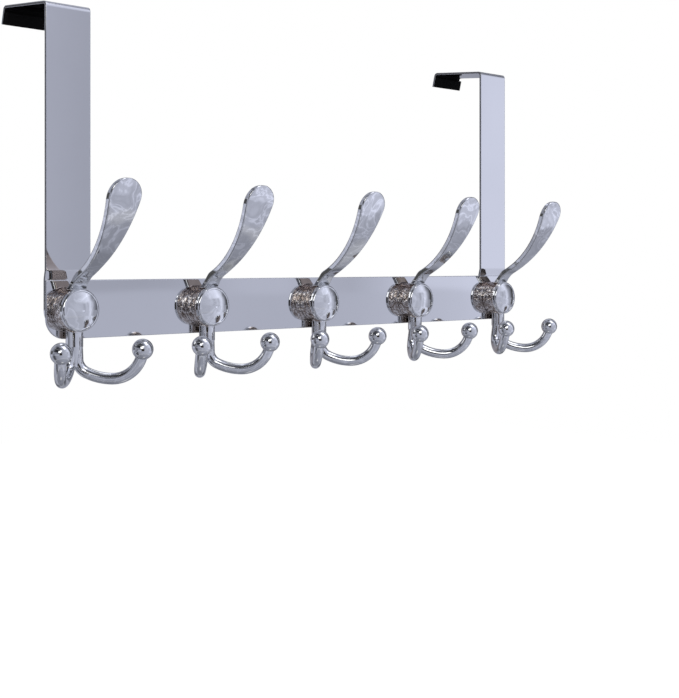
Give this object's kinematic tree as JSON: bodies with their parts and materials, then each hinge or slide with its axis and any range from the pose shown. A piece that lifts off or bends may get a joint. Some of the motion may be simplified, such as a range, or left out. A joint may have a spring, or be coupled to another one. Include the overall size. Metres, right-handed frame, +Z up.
{
  "type": "over door hook rack",
  "caption": "Polished rail hung over a door on two bent straps with padded lips, carrying cast hooks with a wide upper paddle and two ball-ended lower arms.",
  "frame": {"origin": "centre of the left strap's seat, on the face that rests on the door's top edge", "axes": "+X along the rail to the right as seen from the room, +Y through the door away from the hooks, +Z up"},
  "size_m": [0.4684, 0.1164, 0.2334],
  "materials": {
    "rail": "mirror-polished flat strip",
    "strap": "mirror-polished bent strip",
    "hook": "bright plating on a smooth casting",
    "foam": "black closed-cell foam",
    "screw": "zinc-plated, plain"
  },
  "bodies": {
    "root": {"rail": "rail", "strap_left": "strap", "strap_right": "strap", "lip_pad_left": "foam", "lip_pad_right": "foam", "rear_pad_left": "foam", "rear_pad_right": "foam", "hook_1": "hook", "hook_2": "hook", "hook_3": "hook", "hook_4": "hook", "hook_5": "hook", "hook_screws": "screw"}
  },
  "joints": []
}
